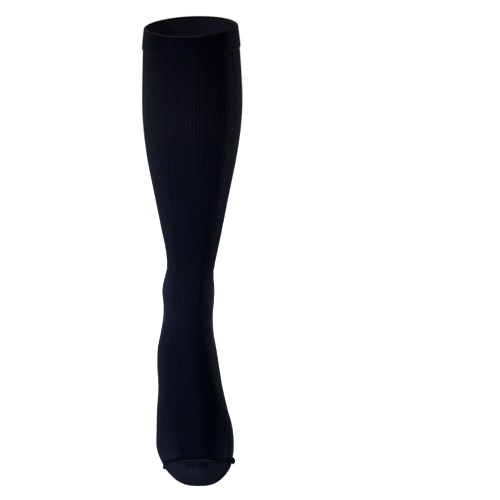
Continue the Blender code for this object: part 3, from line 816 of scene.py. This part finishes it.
class Nodes:
    """A short way to write a material's maths."""

    def __init__(self, name):
        self.material = bpy.data.materials.new(name)
        self.material.use_nodes = True
        self.tree = self.material.node_tree
        self.surface = self.tree.nodes["Principled BSDF"]

    def knit(self):
        """The cloth's own places: ribs round it and courses down it."""
        node = self.tree.nodes.new("ShaderNodeUVMap")
        node.uv_map = "knit"
        return node.outputs["UV"]

    def parts(self, vector):
        """A vector's three numbers."""
        node = self.tree.nodes.new("ShaderNodeSeparateXYZ")
        self.tree.links.new(vector, node.inputs[0])
        return node.outputs

    def place(self):
        return self.tree.nodes.new("ShaderNodeTexCoord").outputs["Object"]

    def join(self, source, socket):
        if isinstance(source, (int, float)):
            socket.default_value = source
        else:
            self.tree.links.new(source, socket)

    def math(self, operation, *values, clamp=False):
        node = self.tree.nodes.new("ShaderNodeMath")
        node.operation = operation
        node.use_clamp = clamp
        for value, socket in zip(values, node.inputs):
            self.join(value, socket)
        return node.outputs[0]

    def spread(self, value, pair, clamp=False):
        """A number times the pair's first, and its second added."""
        return self.math("MULTIPLY_ADD", value, *pair, clamp=clamp)

    def blend(self, share, low, high):
        """A number between two others."""
        node = self.tree.nodes.new("ShaderNodeMix")
        node.data_type = "FLOAT"
        self.join(share, node.inputs[0])
        self.join(low, node.inputs[2])
        self.join(high, node.inputs[3])
        return node.outputs[0]

    def tint(self, share, low, high):
        """A colour between two others."""
        node = self.tree.nodes.new("ShaderNodeMix")
        node.data_type = "RGBA"
        self.join(share, node.inputs[0])
        for colour, socket in ((low, node.inputs[6]), (high, node.inputs[7])):
            if isinstance(colour, tuple):
                socket.default_value = (*colour, 1.0)
            else:
                self.tree.links.new(colour, socket)
        return node.outputs[2]

    def scaled(self, colour, factor):
        """A colour times a number."""
        node = self.tree.nodes.new("ShaderNodeVectorMath")
        node.operation = "SCALE"
        self.tree.links.new(colour, node.inputs[0])
        node.inputs["Scale"].default_value = factor
        return node.outputs[0]

    def lit(self, colour, light, most):
        """A colour times a light that varies over the cloth, from 0 to the most."""
        share = self.math("MULTIPLY", light, 1.0 / most)
        return self.tint(share, BLACK, self.scaled(colour, most))

    def step(self, value, low, high):
        """A smooth rise from 0 at low to 1 at high."""
        node = self.tree.nodes.new("ShaderNodeMapRange")
        node.interpolation_type = "SMOOTHSTEP"
        self.join(value, node.inputs["Value"])
        node.inputs["From Min"].default_value = low
        node.inputs["From Max"].default_value = high
        return node.outputs["Result"]

    def window(self, value, edges):
        """1 between the inner two of four edges, and 0 outside the outer two."""
        start, full, fading, end = edges
        rise, fall = self.step(value, start, full), self.step(value, end, fading)
        return self.math("MULTIPLY", rise, fall)

    def noise(self, scale, detail=2.0, vector=None):
        """Noise over the object, about 0 to 1, with features of 1/scale metres."""
        node = self.tree.nodes.new("ShaderNodeTexNoise")
        node.inputs["Scale"].default_value = scale
        node.inputs["Detail"].default_value = detail
        self.tree.links.new(vector or self.place(), node.inputs["Vector"])
        return node.outputs["Fac"]

    def bump(self, height, strength, distance):
        node = self.tree.nodes.new("ShaderNodeBump")
        node.inputs["Strength"].default_value = strength
        node.inputs["Distance"].default_value = distance
        self.join(height, node.inputs["Height"])
        self.join(node.outputs["Normal"], self.surface.inputs["Normal"])

    def painted_shading(self, down, turn):
        """The knit's painted light and shade, and how grey it is, at a length down and a
        share of the wales.
        """
        ramp = self.tree.nodes.new("ShaderNodeValToRGB")
        stops = ramp.color_ramp.elements
        for i, tone in enumerate(PAINTED_SHADING):
            place = down_at(station(tone.section) + tone.past) / DOWN[-1]
            stop = stops[i] if i < len(stops) else stops.new(place)
            stop.position = place
            light, side = tone.light / TONE_RANGE, tone.side / TONE_RANGE
            stop.color = (light, tone.flank, tone.grey, side)
        self.join(self.math("DIVIDE", down, float(DOWN[-1])), ramp.inputs[0])
        split = self.tree.nodes.new("ShaderNodeSeparateColor")
        self.tree.links.new(ramp.outputs["Color"], split.inputs[0])
        flank = self.math("MULTIPLY", self.window(turn, FLANK), split.outputs[1])
        light = self.math("MULTIPLY", split.outputs[0], TONE_RANGE)
        light = self.math("MULTIPLY", light, self.math("SUBTRACT", 1.0, flank))
        side = self.window(self.math("ABSOLUTE", self.math("SUBTRACT", turn, 0.5)), SIDE)
        lift = self.blend(side, 1.0 / TONE_RANGE, ramp.outputs["Alpha"])
        light = self.math("MULTIPLY", light, self.math("MULTIPLY", lift, TONE_RANGE))
        grey = self.math("MULTIPLY", self.window(turn, GREYER), split.outputs[2])
        return light, self.math("MAXIMUM", grey, self.math("MULTIPLY", side, SIDE_GREY))

    def random(self, value):
        """A steady random number for each whole number."""
        node = self.tree.nodes.new("ShaderNodeTexWhiteNoise")
        node.noise_dimensions = "1D"
        self.tree.links.new(value, node.inputs["W"])
        return node.outputs["Value"]


def shaded(colour, factor):
    return tuple(factor * c for c in colour)


def across_wale(n, value):
    """How far across its wale a place is, -0.5 to 0.5."""
    return n.math("SUBTRACT", n.math("FRACT", n.math("ADD", value, 0.5)), 0.5)


def turn_of(n, rib):
    """The share of the wales, with the front middle at 0.5."""
    return n.math("FRACT", n.math("MULTIPLY_ADD", rib, 1.0 / RIBS, 0.5))


def hump(n, value, power, clamp=False):
    """1 where the value is 0, down to 0 where it is 1 either way."""
    fall = n.math("POWER", n.math("ABSOLUTE", value), power)
    return n.math("SUBTRACT", 1.0, fall, clamp=clamp)


def stitches(n, across, course):
    """The height of plain stitches, each a V of two yarns, across being -0.5 to 0.5."""
    beside = n.math("ABSOLUTE", across)
    leg = n.math("FRACT", n.math("ADD", course, n.math("MULTIPLY", beside, STITCH_SLANT)))
    off = n.math("SUBTRACT", n.math("MULTIPLY", leg, 2.0), 1.0)
    yarn = hump(n, off, YARN_ROUND)
    from_leg = n.math("DIVIDE", n.math("SUBTRACT", beside, YARN_AT), YARN_WIDE)
    return n.math("MULTIPLY", yarn, hump(n, from_leg, YARN_ACROSS, clamp=True))


def knit_material(name, colour, edge=None):
    """Dull fine knit: ribs and stitches from the cloth's own wales and courses."""
    n = Nodes(name)
    rib, course, _ = n.parts(n.knit())
    share = n.tree.nodes.new("ShaderNodeAttribute")
    share.attribute_name = "ribbed"
    ribbed = share.outputs["Fac"]

    # plain knit: two wales for each rib, all of them facing out
    plain_wale = n.math("MULTIPLY", rib, 2.0)
    plain = stitches(n, across_wale(n, plain_wale), course)
    # rib knit: one wale faces out on the crown, the next lies back in the valley
    crown_across = n.math("DIVIDE", across_wale(n, rib), CROWN_WIDE)
    crown = n.step(n.math("ABSOLUTE", crown_across), *CROWN_EDGES)
    purl = n.math("MULTIPLY", n.math("PINGPONG", course, 0.5), PURL_HIGH)
    on_crown = n.spread(stitches(n, crown_across, course), CROWN_STITCH)
    ribs = n.blend(crown, purl, on_crown)
    height = n.blend(ribbed, n.spread(plain, PLAIN_STITCH), ribs)

    # yarn: wales differ a little from each other, and fibres blur the stitches
    wale = n.random(n.math("FLOOR", n.math("ADD", plain_wale, 0.5)))
    patches = n.noise(PATCH_SCALE, 3.0)
    fibres = n.noise(FIBRE_SCALE)
    # painted shade: the valleys between yarns and ribs are painted darker than the crowns
    tone = n.spread(height, HEIGHT_SHADE)
    for value, pair in ((wale, WALE_TONE), (patches, PATCH_TONE), (fibres, FIBRE_TONE)):
        tone = n.math("MULTIPLY", tone, n.spread(value, pair))
    tone = n.math("SUBTRACT", tone, TONE_LEAST, clamp=True)
    painted = n.tint(tone, shaded(colour, DARK), shaded(colour, LIGHT))
    # painted light and shade down and round the tube: a painted shaded flank and painted edge
    # light
    lit, grey = n.painted_shading(n.math("MULTIPLY", course, STITCH), turn_of(n, rib))
    plainer = n.tree.nodes.new("ShaderNodeRGBToBW")
    n.tree.links.new(painted, plainer.inputs[0])
    painted = n.tint(grey, painted, plainer.outputs[0])
    painted = n.lit(painted, lit, LIT_RANGE)
    if edge is not None:
        painted = edge(n, rib, course, painted)
    n.join(painted, n.surface.inputs["Base Color"])
    n.join(n.spread(fibres, FIBRE_ROUGH), n.surface.inputs["Roughness"])
    n.bump(n.math("MULTIPLY_ADD", fibres, FIBRE_HIGH, height), *KNIT_BUMP)
    cloth_surface(n.surface)
    return n.material


def cloth_surface(surface):
    """What is the same all over the yarn: little gloss, and the sheen of its fibres."""
    surface.inputs["Metallic"].default_value = 0.0
    surface.inputs["Specular IOR Level"].default_value = 0.008
    surface.inputs["Sheen Weight"].default_value = 0.03
    surface.inputs["Sheen Roughness"].default_value = 0.45
    surface.inputs["Sheen Tint"].default_value = (0.50, 0.58, 0.90, 1.0)


def lining_light_and_elastic(n, rib, course, painted):
    """The band's lining, with painted light where it lies in shade, and a thin warm line at
    the fold: partly the covered elastic, partly a painted highlight where the fold catches
    the light.
    """
    turn = n.math("MULTIPLY", rib, 1.0 / RIBS)
    inside = n.step(course, -LINING_FROM / STITCH, -LINING_FULL / STITCH)
    # painted light: the lining is painted lighter where the inside of the band lies in shade
    lining = n.tint(n.window(turn, LINING_TURNS), LINING, LINING_PAINTED_LIGHT)
    ridged = n.spread(n.math("PINGPONG", rib, 0.5), LINING_RIDGED)
    painted = n.tint(inside, painted, n.lit(lining, ridged, LINING_RANGE))
    shown = 0.0
    high = ELASTIC_OUT / STITCH
    for *edges, reach in ELASTIC_AND_HIGHLIGHT_SHOWS:
        low = -reach * MM / STITCH
        line = n.window(course, (low - ELASTIC_BLUR, low, high, high + ELASTIC_BLUR))
        part = n.math("MULTIPLY", n.window(turn, edges), line)
        shown = n.math("MAXIMUM", shown, part)
    wear_and_highlight = n.spread(n.noise(WORN_SCALE), ELASTIC_WORN, clamp=True)
    each_wale = n.math("PINGPONG", n.math("MULTIPLY", rib, 2.0), 0.5)
    dashes = n.spread(each_wale, ELASTIC_DASHES)
    share = n.math("MULTIPLY", n.math("MULTIPLY", shown, wear_and_highlight), dashes, clamp=True)
    # the thin warm line at the fold: partly the covered elastic, partly a painted highlight
    return n.tint(share, painted, ELASTIC_AND_HIGHLIGHT)


def toe_shade(n, rib, course, painted):
    """The cap is painted darker where the seam draws it in, as painted shade, and lighter on
    its front, as a painted highlight.
    """
    turn = turn_of(n, rib)
    past_seam = n.math("MULTIPLY_ADD", course, STITCH, -float(DOWN[-1]))
    shade = n.math("MULTIPLY", n.window(turn, TOE_SHADE), n.window(past_seam, TOE_SHADE_DOWN))
    wear_and_highlight = n.math("MULTIPLY", n.window(turn, TOE_HIGHLIGHT), n.window(past_seam, TOE_HIGHLIGHT_DOWN))
    # painted shade under the seam, then a painted highlight on the front of the cap
    painted = n.tint(n.math("MULTIPLY", shade, TOE_SHADE_DARK), painted, BLACK)
    return n.tint(wear_and_highlight, painted, n.scaled(painted, TOE_HIGHLIGHT_GAIN))


def seam_material(name, colour):
    """The linking yarn: fine plied fibres along the ridge, with a painted highlight over the
    middle toes.
    """
    n = Nodes(name)
    fibres = n.noise(3.0, 3.0, n.knit())
    fuzz = n.noise(FIBRE_SCALE)
    tone = n.math("MULTIPLY", n.math("ADD", fibres, fuzz), 0.5)
    painted = n.tint(n.step(tone, 0.3, 0.7), shaded(colour, SEAM_DARK), shaded(colour, LIGHT))
    across, _, _ = n.parts(n.place())
    middle = n.window(across, SEAM_LIT)
    # painted highlight on the ridge over the middle toes
    painted = n.tint(middle, painted, n.scaled(painted, SEAM_BRIGHTER))
    n.join(painted, n.surface.inputs["Base Color"])
    n.surface.inputs["Roughness"].default_value = SEAM_ROUGH
    n.bump(tone, *SEAM_BUMP)
    cloth_surface(n.surface)
    return n.material


# ---------------------------------------------------------------- floor, light, camera


def make_floor():
    """A plain pale floor below the toes."""
    low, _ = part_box("toe_cap")
    bpy.ops.mesh.primitive_plane_add(size=FLOOR_SIZE, location=(0, 0, low.z - FLOOR_BELOW))
    floor = bpy.context.object
    floor.name = "floor"
    material = bpy.data.materials.new("pale_floor")
    material.use_nodes = True
    tree = material.node_tree
    surface = tree.nodes["Principled BSDF"]
    surface.inputs["Base Color"].default_value = (FLOOR_GREY, FLOOR_GREY, FLOOR_GREY, 1.0)
    surface.inputs["Roughness"].default_value = 0.9
    surface.inputs["Specular IOR Level"].default_value = 0.0
    # overexposed to plain white where it is seen, and an ordinary pale floor to the cloth
    surface.inputs["Emission Color"].default_value = (1.0, 1.0, 1.0, 1.0)
    seen = tree.nodes.new("ShaderNodeLightPath").outputs["Is Camera Ray"]
    tree.links.new(seen, surface.inputs["Emission Strength"])
    floor.data.materials.append(material)
    floor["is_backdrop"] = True


def area_light(name, place, aim, size, power):
    data = bpy.data.lights.new(name, "AREA")
    data.shape = "DISK"
    data.size = size
    data.energy = power
    lamp = put(name, data)
    lamp.location = place
    lamp.rotation_euler = (aim - lamp.location).to_track_quat("-Z", "Y").to_euler()


def make_light():
    """The soft lamps, aimed at the stocking's middle, and the pale room all round."""
    low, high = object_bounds()
    middle = (low + high) / 2
    for name, place, size, power in LAMPS:
        area_light(name, place, middle, size, power)
    world = bpy.context.scene.world or bpy.data.worlds.new("room")
    bpy.context.scene.world = world
    world.use_nodes = True
    tree = world.node_tree
    background = tree.nodes["Background"]
    background.inputs["Color"].default_value = (1.0, 1.0, 1.0, 1.0)
    seen = tree.nodes.new("ShaderNodeLightPath").outputs["Is Camera Ray"]
    strength = tree.nodes.new("ShaderNodeMapRange")
    strength.inputs["To Min"].default_value = ROOM_LIGHT
    strength.inputs["To Max"].default_value = ROOM_SEEN
    tree.links.new(seen, strength.inputs["Value"])
    tree.links.new(strength.outputs["Result"], background.inputs["Strength"])


def make_camera():
    data = bpy.data.cameras.new("camera")
    data.lens = CAMERA_LENS
    data.sensor_width = SENSOR
    camera = put("camera", data)
    camera.location = CAMERA_PLACE
    camera.rotation_euler = (CAMERA_TILT, 0.0, 0.0)
    bpy.context.scene.camera = camera


# ---------------------------------------------------------------- the stocking


def dress(piece, nodes, material):
    """Puts a cloth piece in its CAD solids' place: gives it its material, attaches it to the
    root and hides those solids.
    """
    piece.data.materials.append(material)
    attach(piece, "root")
    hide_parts(*nodes)


def main():
    welt = make_welt()
    leg = make_leg()
    foot = make_foot()
    toe_cap = make_toe_cap()
    seam = make_toe_seam()
    welt_knit = knit_material("welt_knit_cloth", WELT_YARN, edge=lining_light_and_elastic)
    leg_knit = knit_material("leg_knit_cloth", LEG_YARN)
    foot_knit = knit_material("foot_knit_cloth", FOOT_YARN)
    toe_knit = knit_material("toe_knit_cloth", TOE_YARN, edge=toe_shade)
    yarn = seam_material("seam_yarn_cloth", SEAM_YARN)
    dress(welt, ["welt"], welt_knit)
    dress(leg, ["leg"], leg_knit)
    dress(foot, ["heel", "foot"], foot_knit)
    dress(toe_cap, ["toe_cap"], toe_knit)
    seam.data.materials.append(yarn)
    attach(seam, "root")
    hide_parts("toe_seam")
    make_floor()
    make_light()
    make_camera()
    bpy.context.scene.view_settings.view_transform = "Standard"


main()
